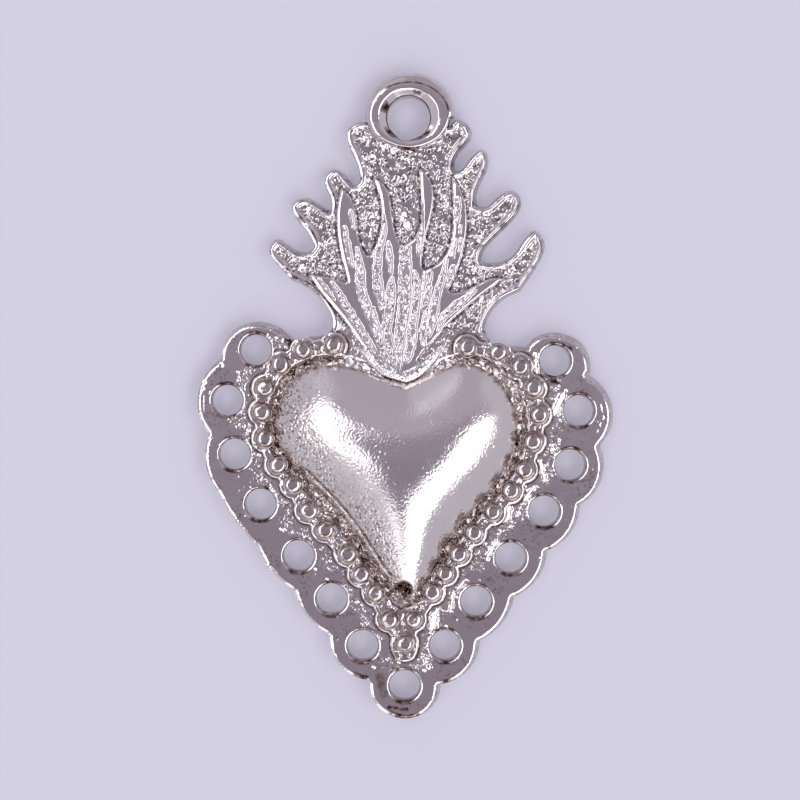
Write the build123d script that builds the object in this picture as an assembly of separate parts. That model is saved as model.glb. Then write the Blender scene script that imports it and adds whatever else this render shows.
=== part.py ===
from build123d import *
from math import atan2, degrees
import os

# Milagro charm: a flaming heart with a pierced, scalloped border and a hanging ring.
# It lies on its flat back. Millimetres, +Z out of the face, +Y towards the ring,
# and the origin on the axis of the hanging ring, in the plane of the back.

# Two points nearer than this are one, and a rounding takes at most this share of its wall
same_point = 0.01
round_share = 0.8

# Plates
plate_thickness = 1.8
plate_edge_round = 0.45
joint_y = -20.0
joint_left_x = -7.35
joint_right_x = 6.85

# Pierced border
hole_diameter = 2.85
hole_edge_round = 0.2
scallop_reach = 2.85
shoulder_reach = 2.65
point_reach = 3.05
notch_round = 0.4

# Hanging ring
ring_outer_diameter = 7.65
ring_bore_diameter = 4.0
ring_height = 2.4
ring_outer_round = 0.45
ring_lip_width = 0.7
ring_lip_depth = 0.7

# Heart dome, a pressed shell
dome_skirt = 0.35
dome_rise = 2.85
dome_wall = 0.8
dome_fullness = 2.4
dome_levels = (1.0, 0.97, 0.9, 0.78, 0.6, 0.38, 0.16)

# Bead row
ledge_height = 0.4
ledge_radius = 1.35
ledge_waist = 1.7
ledge_dome_clearance = 0.15
ledge_hole_margin = 0.1
bead_collar_diameter = 1.75
bead_collar_height = 0.3
bead_collar_round = 0.15
bead_ball_diameter = 1.3

# Flame tongues and the collar at their root
tongue_height = 0.7
tongue_seam = 0.12
groove_width = 0.42
groove_depth = 0.35
collar_height = 0.9
collar_dome_clearance = 0.1

# Centres of the border holes, from the left shoulder round the point to the right shoulder
border_holes = [
    (-14.25, -21.75), (-16.9, -26.45), (-16.2, -31.45), (-13.8, -36.1), (-10.25, -40.9),
    (-7.2, -44.9), (-4.3, -49.25), (-0.4, -52.95), (3.35, -49.25), (6.25, -45.15),
    (9.45, -41.1), (12.6, -36.75), (15.0, -32.45), (15.8, -27.4), (13.6, -22.75),
]
# Notches between the scallops: each one's share of the way from hole to hole, and its depth
# inside the reach of the scallops. The one below zero is where the edge runs straight on.
scallop_notches = [
    (0.42, 0.41), (0.55, 0.69), (0.48, -0.18), (0.5, 0.26), (0.46, 0.59), (0.5, 0.85), (0.5, 0.91),
    (0.42, 0.88), (0.41, 0.77), (0.46, 0.65), (0.44, 0.79), (0.42, 0.57), (0.44, 0.78), (0.53, 0.83),
]
# Shoulders: the step from the last hole to where its scallop ends, and the points of the edge from there
# to the joint, each at a share of the way and raised
left_shoulder_step = (3.1, 0.8)
left_shoulder = [(0.27, 0.1), (0.59, -0.1)]
right_shoulder_step = (-2.7, 1.25)
right_shoulder = [(0.41, -0.46), (0.88, -0.57)]
# Neck above the joint: steps from the joint's end
left_neck = [(-0.15, 2.0), (0.2, 1.15)]
right_neck = [(0.2, 0.75)]

# Bead centres, each side from the flame down to the point
beads_left = [
    (-7.0, -21.4), (-9.8, -21.85), (-11.9, -23.15), (-13.35, -25.3), (-13.6, -27.55),
    (-13.35, -30.0), (-12.15, -32.4), (-10.7, -34.3), (-9.35, -36.65), (-7.75, -38.4),
    (-5.7, -40.65), (-4.45, -42.55), (-3.1, -44.3), (-1.85, -46.7),
]
beads_right = [
    (5.4, -21.6), (8.25, -22.05), (10.25, -23.3), (11.55, -25.35), (12.0, -27.75),
    (11.45, -30.25), (10.7, -32.85), (9.4, -34.8), (7.75, -36.8), (5.95, -38.7),
    (4.6, -40.65), (3.35, -42.45), (2.1, -44.2), (0.4, -46.7),
]
bead_tip = (-0.4, -48.9)

# Heart dome: each rim point, and the point of the ridge that it rises to
dome_cleft = ((-0.3, -25.05), (-0.45, -30.5))
dome_point = ((-0.4, -44.75), (-0.45, -37.75))
dome_left = [
    ((-4.2, -23.75), (-3.6, -29.8)), ((-6.9, -23.2), (-5.6, -29.2)),
    ((-9.85, -23.85), (-6.3, -29.0)), ((-12.0, -26.7), (-6.6, -29.2)),
    ((-12.35, -29.7), (-6.6, -29.6)), ((-9.3, -33.95), (-5.2, -31.0)),
    ((-4.65, -39.35), (-2.2, -34.5)), ((-1.95, -43.35), (-0.9, -37.0)),
]
dome_right = [
    ((2.6, -23.85), (2.7, -29.8)), ((5.65, -23.1), (4.7, -29.2)),
    ((8.35, -24.75), (5.4, -29.0)), ((10.05, -28.45), (5.7, -29.4)),
    ((9.6, -31.25), (5.5, -29.9)), ((6.8, -35.7), (3.8, -31.6)),
    ((3.25, -40.0), (1.2, -34.6)), ((1.1, -43.8), (0.1, -37.2)),
]

# Flame plate: one row for each pointed tip, from the ring down to the neck.
# A row starts where the row before it ends, and the last one goes on along the neck.
flame_left_start = (-3.6, -0.95)
flame_left = [
    [(-4.95, -0.65), (-5.7, -1.15), (-5.8, -1.9), (-4.95, -4.2), (-4.6, -5.95)],
    [(-5.3, -6.45), (-6.65, -5.15), (-7.3, -5.05), (-7.9, -5.8), (-7.6, -6.95), (-7.4, -8.85)],
    [(-8.55, -8.35), (-9.85, -7.7), (-10.9, -8.2), (-10.65, -9.3), (-9.2, -11.2), (-8.9, -12.05)],
    [(-9.75, -12.75), (-11.3, -12.25), (-12.55, -11.6), (-13.0, -12.15), (-12.15, -13.95), (-11.0, -15.25)],
    [(-9.2, -16.1)],
]
flame_right_start = (3.85, -0.9)
flame_right = [
    [(4.4, -0.4), (4.95, -0.6), (5.65, -1.6), (4.5, -3.55), (4.1, -5.15)],
    [(4.8, -4.95), (6.1, -3.45), (6.7, -3.2), (7.15, -3.9), (6.7, -5.9), (6.2, -8.45)],
    [(7.25, -8.35), (8.75, -7.15), (9.75, -7.15), (10.2, -7.8), (8.65, -10.65), (6.6, -13.6)],
    [(7.7, -13.75), (10.05, -12.45), (11.7, -10.8), (12.35, -11.65), (12.0, -13.65), (10.25, -16.35)],
    [],
]

# Flame tongues: all rise from one root. Each has an edge up to its tip and one down from it,
# and neighbours meet at the bottom of the gap between them.
tongue_root = (-0.65, -24.95)
tongue_gaps = [(-5.7, -15.6), (-3.75, -13.15), (-0.65, -12.1), (1.3, -14.4), (3.6, -16.4)]
tongue_tips = [(-9.35, -14.75), (-6.3, -6.8), (-3.45, -5.7), (1.0, -4.9), (4.0, -5.65), (8.85, -15.2)]
tongue_up = [
    [(-3.9, -21.95), (-6.35, -18.7), (-7.75, -17.0)],
    [(-6.5, -12.2), (-6.7, -8.5)],
    [(-3.15, -12.1), (-2.75, -7.75)],
    [(0.55, -11.25), (1.1, -8.4)],
    [(3.3, -13.0), (4.05, -9.8)],
    [(5.0, -16.3), (6.4, -15.6)],
]
tongue_down = [
    [(-7.3, -15.05)],
    [(-5.1, -8.2), (-4.65, -11.15)],
    [(-2.05, -6.8), (-1.5, -9.3)],
    [(2.2, -6.55), (2.1, -9.5)],
    [(5.25, -8.2), (5.0, -12.9)],
    [(6.4, -17.0), (3.15, -19.95), (0.75, -23.0)],
]
# Grooves along the tongues, from one end to the other
grooves = [
    ((-8.3, -15.45), (-7.1, -16.95)), ((-7.1, -15.85), (-3.6, -21.4)),
    ((-5.4, -8.9), (-5.1, -10.4)), ((-5.8, -10.45), (-5.35, -13.85)), ((-4.7, -12.6), (-4.3, -17.4)),
    ((-2.35, -9.6), (-2.9, -14.1)), ((-1.85, -12.0), (-1.65, -14.7)), ((-2.2, -16.5), (-1.5, -20.5)),
    ((1.25, -8.9), (0.85, -12.9)), ((-0.1, -13.2), (-0.5, -19.2)), ((1.0, -15.6), (0.4, -20.3)),
    ((4.5, -8.0), (4.35, -9.9)), ((4.2, -11.6), (4.0, -13.0)), ((3.65, -13.6), (2.75, -16.8)),
    ((6.0, -16.4), (3.45, -18.4)), ((2.4, -17.9), (1.4, -20.9)),
]

# Collar: a crescent, from its left end along the cleft to its right end, and back above
collar_ends = [(-4.8, -21.7), (3.5, -21.05)]
collar_lower = [(-3.45, -23.35), (-0.75, -25.0), (2.15, -23.35)]
collar_upper = [(1.5, -22.55), (-0.75, -23.75), (-2.6, -22.55)]

plate_top = plate_thickness
left_joint = (joint_left_x, joint_y)
right_joint = (joint_right_x, joint_y)
hole_radius = hole_diameter / 2
ring_radius = ring_outer_diameter / 2
ring_bore_radius = ring_bore_diameter / 2
bead_base = plate_top + ledge_height


def between(start, end, share):
    """The point a share of the way from start to end."""
    return tuple(a + share * (b - a) for a, b in zip(start, end))


def from_point(start, steps):
    """The points that lie at the given steps from a start."""
    return [(start[0] + x, start[1] + y) for x, y in steps]


def flat_face(edges):
    """The face inside a closed run of edges, facing up."""
    face = make_face(edges).face()
    return Sketch() + (face if face.normal_at().Z > 0 else -face)


def along(start, end):
    """The place halfway from start to end, turned to run along that line."""
    turn = degrees(atan2(end[1] - start[1], end[0] - start[0]))
    return Pos(*between(start, end, 0.5)) * Rot(0, 0, turn)


def distance(start, end):
    return (Vector(*end) - Vector(*start)).length


def outward(start, end):
    """The way out of the border, square to the line from start to end."""
    chord = (Vector(*end) - Vector(*start)).normalized()
    return Vector(chord.Y, -chord.X)


def shoulder_points(hole, step, rises, joint):
    """The edge of a shoulder, from the end of its scallop towards the joint."""
    end = from_point(hole, [step])[0]
    points = [end]
    for share, rise in rises:
        points += from_point(between(end, joint, share), [(0, rise)])
    return points


def notch_points():
    """The bottoms of the notches between neighbouring holes."""
    points = []
    for (share, depth), start, end in zip(scallop_notches, border_holes, border_holes[1:]):
        middle = Vector(*between(start, end, share))
        points.append(middle + outward(start, end) * (scallop_reach - depth))
    return points


def border_outline():
    """The face of the pierced border, before its holes."""
    left_edge = shoulder_points(border_holes[0], left_shoulder_step, left_shoulder, left_joint)
    right_edge = shoulder_points(border_holes[-1], right_shoulder_step, right_shoulder, right_joint)
    ends = [left_edge[0], *notch_points(), right_edge[0]]
    edges = [Spline(left_joint, *reversed(left_edge))]
    last = len(border_holes) - 1
    for number, hole in enumerate(border_holes):
        before, after = ends[number:number + 2]
        reach = scallop_reach
        if number in (0, last):
            reach = shoulder_reach
        if number == last // 2:
            reach = point_reach
        crest = Vector(*hole) + outward(before, after) * reach
        edges.append(ThreePointArc(before, crest, after))
    edges.append(Spline(*right_edge, right_joint))
    edges.append(Line(right_joint, left_joint))
    return flat_face(edges)


def at_points(vertices, points):
    """The vertices that lie on the given points."""
    return [v for v in vertices if any(distance(v, p) < same_point for p in points)]


def border_plate():
    outline = border_outline()
    outline = fillet(at_points(outline.vertices(), notch_points()), notch_round)
    plate = extrude(outline, plate_thickness)
    rim = plate.faces().sort_by(Axis.Z)[-1].outer_wire().edges()
    plate = fillet([e for e in rim if abs(e.center().Y - joint_y) > same_point], plate_edge_round)
    for x, y in border_holes:
        plate -= Pos(x, y, 0) * extrude(Circle(hole_radius), plate_thickness)
    mouths = plate.faces().sort_by(Axis.Z)[-1].inner_wires()
    return fillet([e for wire in mouths for e in wire.edges()], hole_edge_round)


def flame_side(start, rows, neck, joint):
    """The edges of one side of the flame plate, one spline for each row, down to the joint."""
    *upper, last = rows
    edges = []
    for row in [*upper, [*last, *from_point(joint, neck), joint]]:
        edges.append(Spline(start, *row))
        start = row[-1]
    return edges


def flame_plate():
    edges = flame_side(flame_left_start, flame_left, left_neck, left_joint)
    edges += flame_side(flame_right_start, flame_right, right_neck, right_joint)
    edges.append(Line(flame_left_start, flame_right_start))
    edges.append(Line(left_joint, right_joint))
    return extrude(flat_face(edges) - Circle(ring_radius), plate_thickness)


def hanging_ring():
    lip_z = ring_height - ring_lip_depth
    lip_radius = ring_bore_radius + ring_lip_width
    edge_round = min(ring_outer_round, round_share * (ring_radius - lip_radius))
    shoulder_z = ring_height - edge_round
    band = ring_radius - edge_round
    section = [
        Polyline((band, ring_height), (lip_radius, ring_height), (ring_bore_radius, lip_z),
                 (ring_bore_radius, 0), (ring_radius, 0), (ring_radius, shoulder_z)),
        RadiusArc((ring_radius, shoulder_z), (band, ring_height), -edge_round),
    ]
    return revolve(Plane.XZ * make_face(section), Axis.Z)


def dome_section(share, wall):
    """The outline of the dome where it has drawn in to a share of its width."""
    def drawn_in(pair):
        rim, ridge = pair
        inset = wall / distance(rim, ridge)
        return between(ridge, rim, share * (1 - inset))

    sides = []
    for side in (dome_left, dome_right):
        sides.append(Spline(*[drawn_in(pair) for pair in (dome_cleft, *side, dome_point)]))
    return flat_face(sides)


def dome_body(wall):
    """The dome, solid: the outer form, or the hollow inside it if a wall is given."""
    rise = dome_rise - wall
    sections = [dome_section(dome_levels[0], wall)]
    for share in dome_levels:
        swell = (1 - share ** dome_fullness) ** (1 / dome_fullness)
        sections.append(Pos(0, 0, dome_skirt + rise * swell) * dome_section(share, wall))
    return Pos(0, 0, plate_top) * loft(sections)


def heart_dome():
    return dome_body(0) - dome_body(dome_wall)


def dome_footprint(clearance):
    """The heart that the dome stands on, with a clearance round it."""
    return dome_section(dome_levels[0], -clearance)


def bead_ledge():
    chain = [*beads_left, bead_tip, *reversed(beads_right)]
    outline = Sketch() + [Pos(x, y) * Circle(ledge_radius) for x, y in chain]
    for start, end in zip(chain, chain[1:]):
        outline += along(start, end) * Rectangle(distance(start, end), ledge_waist)
    outline -= dome_footprint(ledge_dome_clearance)
    clear_radius = hole_radius + hole_edge_round + ledge_hole_margin
    outline -= [Pos(x, y) * Circle(clear_radius) for x, y in border_holes]
    outline = outline & border_outline()
    return Pos(0, 0, plate_top) * extrude(outline, ledge_height)


def bead():
    collar_radius = bead_collar_diameter / 2
    ball_radius = bead_ball_diameter / 2
    edge_round = min(bead_collar_round, round_share * (collar_radius - ball_radius))
    round_start = (collar_radius, bead_collar_height - edge_round)
    round_end = (collar_radius - edge_round, bead_collar_height)
    ball_foot = (ball_radius, bead_collar_height)
    ball_top = (0, bead_collar_height + ball_radius)
    section = [
        Polyline(ball_top, (0, 0), (collar_radius, 0), round_start),
        RadiusArc(round_start, round_end, -edge_round),
        Line(round_end, ball_foot),
        RadiusArc(ball_foot, ball_top, -ball_radius),
    ]
    return revolve(Plane.XZ * make_face(section), Axis.Z)


def collar_outline():
    """The crescent of the collar, before the dome takes its place in it."""
    left, right = collar_ends
    return flat_face([Spline(left, *collar_lower, right), Spline(right, *collar_upper, left)])


def flame_collar():
    outline = collar_outline() - dome_footprint(collar_dome_clearance)
    return Pos(0, 0, plate_top) * extrude(outline, collar_height)


def slot(start, end, width):
    return along(start, end) * SlotCenterToCenter(distance(start, end), width)


def flame_tongue(number):
    tip = tongue_tips[number]
    last = len(tongue_tips) - 1
    left_foot = tongue_root if number == 0 else tongue_gaps[number - 1]
    right_foot = tongue_root if number == last else tongue_gaps[number]
    edges = [Spline(left_foot, *tongue_up[number], tip), Spline(tip, *tongue_down[number], right_foot)]
    edges += [Line(foot, tongue_root) for foot in (left_foot, right_foot) if foot != tongue_root]
    outline = flat_face(edges) - collar_outline()
    outline -= [slot(gap, tongue_root, tongue_seam) for gap in tongue_gaps]
    strand = extrude(outline, tongue_height)
    for start, end in grooves:
        floor = Pos(0, 0, tongue_height - groove_depth)
        strand -= floor * extrude(slot(start, end, groove_width), groove_depth)
    return Pos(0, 0, plate_top) * strand


nodes = {
    "border_plate": border_plate(),
    "flame_plate": flame_plate(),
    "hanging_ring": hanging_ring(),
    "heart_dome": heart_dome(),
    "bead_ledge": bead_ledge(),
    "flame_collar": flame_collar(),
}
for number in range(len(tongue_tips)):
    nodes[f"flame_tongue_{number + 1}"] = flame_tongue(number)
for side, centres in (("left", beads_left), ("right", beads_right)):
    for number, (x, y) in enumerate(centres):
        nodes[f"bead_{side}_{number + 1:02d}"] = Pos(x, y, bead_base) * bead()
nodes["bead_tip"] = Pos(*bead_tip, bead_base) * bead()

os.makedirs("parts", exist_ok=True)
for name, solid in nodes.items():
    export_step(solid, f"parts/{name}.step")
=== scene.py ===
"""Looks of the milagro charm: cast nickel, seen from straight above on a plain pale floor."""
import math

import bpy
import numpy as np
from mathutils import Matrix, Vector, geometry, kdtree, noise


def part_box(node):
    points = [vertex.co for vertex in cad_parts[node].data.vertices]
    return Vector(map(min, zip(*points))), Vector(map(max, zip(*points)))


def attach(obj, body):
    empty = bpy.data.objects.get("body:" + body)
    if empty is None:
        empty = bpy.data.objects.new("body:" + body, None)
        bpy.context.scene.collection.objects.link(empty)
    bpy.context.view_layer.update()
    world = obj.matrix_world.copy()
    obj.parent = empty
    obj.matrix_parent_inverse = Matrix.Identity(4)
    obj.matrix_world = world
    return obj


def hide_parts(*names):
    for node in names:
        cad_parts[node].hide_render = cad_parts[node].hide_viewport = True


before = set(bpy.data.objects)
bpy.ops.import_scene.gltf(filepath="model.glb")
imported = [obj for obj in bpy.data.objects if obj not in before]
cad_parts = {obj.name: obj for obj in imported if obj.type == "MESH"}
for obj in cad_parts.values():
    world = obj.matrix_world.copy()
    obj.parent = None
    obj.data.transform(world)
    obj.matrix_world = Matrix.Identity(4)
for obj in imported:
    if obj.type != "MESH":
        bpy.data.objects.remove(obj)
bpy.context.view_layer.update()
scene = bpy.context.scene

# Lengths are in millimetres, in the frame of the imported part, and go to metres at the end
MM = 0.001

# The photo: its size, the length of a pixel at one height, and the camera straight above
photo_pixels = 800
pixel = 0.093
pixel_height = 1.5
camera_at = (-0.835, -26.425, 156.5)

# Spacing of the points of each relief, and along measured edges
border_step = 0.08
flame_step = 0.085
tongue_step = 0.065
dome_step = 0.085
ledge_step = 0.08
collar_step = 0.08
edge_spacing = 0.04

# Outlines: how closely corners agree, the turn that makes one, rounds of easing, and the points of a knot
corner_slack = 1e-3
corner_digits = 4
sharp_turn = math.radians(40)
easing_rounds = 4
knot_length = 40

# Edges as cast: the side that walls lean to, and the form of chamfer and wall
lean_turn = 35
chamfer_slope = 0.3
wall_curve = 1.25
wall_rows = (0.35, 0.7, 1)

# How far pieces that stand on a plate go into it, so that its relief leaves no gap
sunk = 0.45

# The hollow between the dome and the beads: its depth, and where it ends
moat_depth = 0.3
moat_fade = (0.5, 1.1)

# Painted shade on the side walls of the plates
painted_wall_shade = 0.45


# Outlines

def on_photo(u, v, height):
    """The place, at a height, that the photo shows at a pixel."""
    span = pixel * (camera_at[2] - height) / (camera_at[2] - pixel_height)
    middle = photo_pixels / 2
    return np.array((camera_at[0] + (u - middle) * span, camera_at[1] - (v - middle) * span))


def length(ways):
    return np.linalg.norm(ways, axis=1)


def underside(node):
    """A node's flat underside as outlines: the longest first, anticlockwise, then the holes, clockwise."""
    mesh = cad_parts[node].data
    places = np.array([v.co for v in mesh.vertices]) / MM
    floor = places[:, 2].min() + corner_slack
    welded = {}
    weld = [welded.setdefault(tuple(np.round(p, corner_digits)), len(welded)) for p in places]
    corners = list(welded)
    edges = set()
    for face in mesh.polygons:
        if max(places[i][2] for i in face.vertices) < floor:
            ring = [weld[i] for i in face.vertices]
            edges |= set(zip(ring, ring[1:] + ring[:1]))
    ahead = {a: b for a, b in edges if (b, a) not in edges}
    loops = []
    while ahead:
        start = next(iter(ahead))
        loop = []
        while start in ahead:
            loop.append(corners[start][:2])
            start = ahead.pop(start)
        loops.append(np.array(loop))
    loops.sort(key=lambda loop: -length(loop - np.roll(loop, 1, 0)).sum())
    # These faces look down, so their edges run backwards
    return [loop[::-1] for loop in loops]


def resample(loop, step):
    """A closed outline at an even spacing, with its corners kept and its facets smoothed."""
    way = np.roll(loop, -1, 0) - loop
    heading = np.arctan2(way[:, 1], way[:, 0])
    turn = np.abs((heading - np.roll(heading, 1) + math.pi) % (2 * math.pi) - math.pi)
    stops = [i for i in range(len(loop)) if turn[i] > sharp_turn] or [0]
    loop = np.roll(loop, -stops[0], 0)
    stops = [s - stops[0] for s in stops] + [len(loop)]
    closed = np.vstack([loop, loop[:1]])
    runs, fixed = [], []
    for start, end in zip(stops, stops[1:]):
        run = closed[start:end + 1]
        along = np.concatenate([[0], np.cumsum(length(np.diff(run, axis=0)))])
        count = max(1, round(along[-1] / step))
        at = np.linspace(0, along[-1], count + 1)[:-1]
        runs.append(np.stack([np.interp(at, along, run[:, axis]) for axis in (0, 1)], 1))
        fixed += [len(stops) > 2] + [False] * (count - 1)
    points = np.vstack(runs)
    free = ~np.array(fixed)
    for _ in range(easing_rounds):
        eased = (np.roll(points, 1, 0) + 2 * points + np.roll(points, -1, 0)) / 4
        points[free] = eased[free]
    return points


def outward_of(loop):
    """The ways out of the metal along an outline."""
    way = np.roll(loop, -1, 0) - np.roll(loop, 1, 0)
    way /= np.linalg.norm(way, axis=1, keepdims=True)
    return np.stack([way[:, 1], -way[:, 0]], 1)


def toward(degrees):
    """The way that a turn from the right points to."""
    return np.array((math.cos(math.radians(degrees)), math.sin(math.radians(degrees))))


def left_of(start, end, places):
    """Which places lie to the left of lines from start to end."""
    run, aside = end - start, places - start
    return run[:, 0] * aside[:, 1] > run[:, 1] * aside[:, 0]


def untangled(loop):
    """An outline without the small knots that moving its points can leave in it."""
    start, end = loop, np.roll(loop, -1, 0)
    for apart in range(2, knot_length):
        other_start, other_end = np.roll(start, -apart, 0), np.roll(end, -apart, 0)
        crossed = left_of(start, end, other_start) != left_of(start, end, other_end)
        crossed &= left_of(other_start, other_end, start) != left_of(other_start, other_end, end)
        if crossed.any():
            turned = np.roll(loop, -int(np.argmax(crossed)), 0)
            return untangled(np.vstack([turned[:1], turned[apart + 1:]]))
    return loop


def spread(loop, free, turn, amount):
    """An outline whose free edge is moved out on the side that a turn points to."""
    outward = outward_of(loop)
    return loop + outward * (amount * np.clip(outward @ toward(turn), 0, 1) * free(loop))[:, None]


def inside(points, loops):
    """Which points lie inside the outlines."""
    result = np.zeros(len(points), bool)
    for loop in loops:
        for (x0, y0), (x1, y1) in zip(loop, np.roll(loop, -1, 0)):
            if y0 != y1:
                crosses = (points[:, 1] < y0) != (points[:, 1] < y1)
                result ^= crosses & (points[:, 0] < x0 + (points[:, 1] - y0) * (x1 - x0) / (y1 - y0))
    return result


def beside(points, start, end):
    """How far along a straight run each point lies, from 0 to 1, and its way there from the run."""
    way = end - start
    along = np.clip((points - start) @ way / (way @ way), 0, 1)
    return along, points - start - along[:, None] * way


class Nearest:
    """Finds the nearest of a set of places."""

    def __init__(self, places):
        self.tree = kdtree.KDTree(len(places))
        for number, (x, y) in enumerate(places):
            self.tree.insert((x, y, 0), number)
        self.tree.balance()

    def find(self, points):
        """The distance and the number of the place nearest to each point."""
        found = [self.tree.find((x, y, 0)) for x, y in points]
        return np.array([f[2] for f in found]), np.array([f[1] for f in found], int)

    def distance(self, points):
        return self.find(points)[0]


def everywhere(places):
    return np.ones(len(places), bool)


def nowhere(places):
    return np.zeros(len(places), bool)


class Edge(Nearest):
    """The edge along some outlines, or the part of it that a test keeps."""

    def __init__(self, loops, keep=everywhere):
        fine = [resample(loop, edge_spacing) for loop in loops]
        places = np.vstack(fine)
        kept = keep(places)
        self.places = places[kept]
        self.outward = np.vstack([outward_of(loop) for loop in fine])[kept]
        super().__init__(self.places)

    def measure(self, points):
        """Each point's distance from the edge, and the edge's way out there."""
        distance, number = self.find(points)
        return distance, self.outward[number]


class Rim:
    """How a piece ends at its edge: a chamfer that catches the light, then a wall that leans out.
    Both widths are given for edges that face away from the lean and for those that face along it."""

    def __init__(self, chamfer, wall, depth):
        self.chamfer, self.wall, self.depth = chamfer, wall, depth

    def widths(self, outward):
        share = (1 + outward @ toward(lean_turn)) / 2
        return [away + (along - away) * share for away, along in (self.chamfer, self.wall)]

    def fall(self, distance, outward):
        """How far the surface has fallen at a distance from the edge."""
        chamfer, wall = self.widths(outward)
        on_chamfer = np.clip((wall + chamfer - distance) / chamfer, 0, 1)
        down = np.clip(1 - distance / wall, 0, 1)
        return -chamfer_slope * chamfer * on_chamfer - self.depth * down ** wall_curve

    def on_wall(self, distance, outward):
        """Which points lie on the wall."""
        return distance < self.widths(outward)[1]

    def rows(self, outward):
        """Distances from the edge at which points follow the rim."""
        chamfer, wall = self.widths(outward)
        return [share * wall for share in wall_rows] + [wall + chamfer / 2, wall + chamfer]


# Relief
# Waves have a size, a height and a seed; patches a size, a seed and the levels where they start and end;
# chips a size, a tilt, a seed and a level share; grains a spacing, a radius, a slope and a seed; spots a
# spacing, a radius, a height and a seed. A pair is where a change starts and ends.

chip_lift_part = 12
grain_sizes = (0.6, 1.3)
grain_edge = (0.6, 1.05)
grain_ragged = 0.15
grain_lift = 0.3
spot_sizes = (0.5, 1.3)
spot_edge = (0.2, 1.0)


def grow(value, low, high):
    """A smooth step from 0 at low to 1 at high."""
    share = np.clip((value - low) / (high - low), 0, 1)
    return share * share * (3 - 2 * share)


def fade(value, low, high):
    """A smooth step from 1 at low to 0 at high."""
    return 1 - grow(value, low, high)


def waves(points, size, height, seed):
    """Smooth waves of about the given size and height."""
    return height * np.array([noise.noise((x / size, y / size, seed)) for x, y in points])


def patches(points, size, seed, low, high):
    """Smooth patches: 0 between them and 1 in them."""
    return grow(waves(points, size, 1, seed), low, high)


def scatter(points, spacing, draw):
    """Places strewn over the points' box, and each point's distance to the nearest one and its number."""
    low = points.min(0) - spacing
    high = points.max(0) + spacing
    places = draw.uniform(low, high, (int(np.prod(high - low) / spacing ** 2), 2))
    return places, *Nearest(places).find(points)


def chips(points, size, tilt, seed, level_share=0.0):
    """The heights of small flat chips, each tilted its own way, apart from a share that is level."""
    draw = np.random.default_rng(seed)
    places, _, chip = scatter(points, size, draw)
    slopes = draw.normal(0, tilt, places.shape) * (draw.random((len(places), 1)) > level_share)
    lifts = draw.normal(0, tilt * size / chip_lift_part, len(places))
    return lifts[chip] + ((points - places[chip]) * slopes[chip]).sum(1)


def grains(points, spacing, radius, slope, seed):
    """The heights of raised flat grains, each tilted its own way, and how near points are to their edges."""
    draw = np.random.default_rng(seed)
    places, distance, grain = scatter(points, spacing, draw)
    radii = radius * draw.uniform(*grain_sizes, len(places))
    turns = draw.uniform(0, 2 * math.pi, len(places))
    slopes = slope * np.column_stack([np.cos(turns), np.sin(turns)])
    lean = ((points - places[grain]) * slopes[grain]).sum(1)
    ragged = waves(points, radius, grain_ragged, seed)
    share = fade(distance / radii[grain] + ragged, *grain_edge)
    return share * (lean + grain_lift * slope * radii[grain]), 4 * share * (1 - share)


def spots(points, spacing, radius, height, seed):
    """Scattered round bumps, or pits where the height is below zero."""
    draw = np.random.default_rng(seed)
    places, distance, spot = scatter(points, spacing, draw)
    radii = radius * draw.uniform(*spot_sizes, len(places))
    return height * fade(distance / radii[spot], *spot_edge)


# Meshes

# The triangulation that leaves holes open, and how near points are one point
inside_outlines = 2
same_place = 1e-7
# How finely outlines are tested, the clearances of rows and grid, and the bend of a crease
outline_parts = 3
row_clearance = 0.93
grid_clearance = 0.62
crease = math.radians(60)


def grid_points(loop, step):
    """Points in a honeycomb over an outline's box, and which of them make one twice as wide."""
    low, high = loop.min(0), loop.max(0)
    rows, wide = [], []
    for number, y in enumerate(np.arange(low[1], high[1], step * math.sqrt(3) / 2)):
        xs = np.arange(low[0] + step / 2 * (number % 2), high[0], step)
        rows.append(np.stack([xs, np.full(len(xs), y)], 1))
        wide.append((np.arange(len(xs)) % 2 == number // 2 % 2) & (number % 2 == 0))
    return np.vstack(rows), np.concatenate(wide)


def triangles(points, edges, loops):
    """Triangles between points, inside the outlines that the first points and the edges give."""
    made = geometry.delaunay_2d_cdt([Vector(p) for p in points], edges, [], inside_outlines, same_place)
    faces = np.array(made[2])
    on_edge = (faces < len(edges)).all(1)
    middles = points[faces[on_edge]].mean(1)
    kept = np.ones(len(faces), bool)
    kept[on_edge] = inside(middles, loops)
    return faces[kept].tolist()


def relief(name, loops, rims, step, shape, floor, hidden=nowhere, plain=nowhere):
    """A solid over outlines: its top from a function of the place, with its sides and its floor.
    Points that are hidden under another piece are left out, and plain stretches have fewer."""
    rim_points = np.vstack(loops)
    edges = []
    for loop in loops:
        first = len(edges)
        edges += [(first + i, first + (i + 1) % len(loop)) for i in range(len(loop))]
    close = Nearest(np.vstack([resample(loop, step / outline_parts) for loop in loops]))
    rows = [rim_points]
    for loop, rim in zip(loops, rims):
        outward = outward_of(loop)
        for distance in rim.rows(outward):
            row = loop - outward * distance[:, None]
            rows.append(row[close.distance(row) > row_clearance * distance])
    grid, wide = grid_points(loops[0], step)
    kept = inside(grid, loops)
    grid, wide = grid[kept], wide[kept]
    grid = grid[~hidden(grid) & (wide | ~plain(grid))]
    grid = grid[Nearest(np.vstack(rows)).distance(grid) > grid_clearance * step]
    points = np.vstack([*rows, grid])
    heights, stain_and_shade, satin = shape(points)
    count, rim_count = len(points), len(rim_points)
    vertices = np.vstack([np.column_stack([points, heights]),
                          np.column_stack([rim_points, np.full(rim_count, floor)])])
    faces = triangles(points, edges, loops)
    faces += [(count + a, count + b, b, a) for a, b in edges]
    faces += [tuple(count + i for i in reversed(face)) for face in triangles(rim_points, edges, loops)]
    bare = np.zeros(rim_count)
    return piece(name, vertices, faces, np.concatenate([stain_and_shade, bare]), np.concatenate([satin, bare]))


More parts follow.
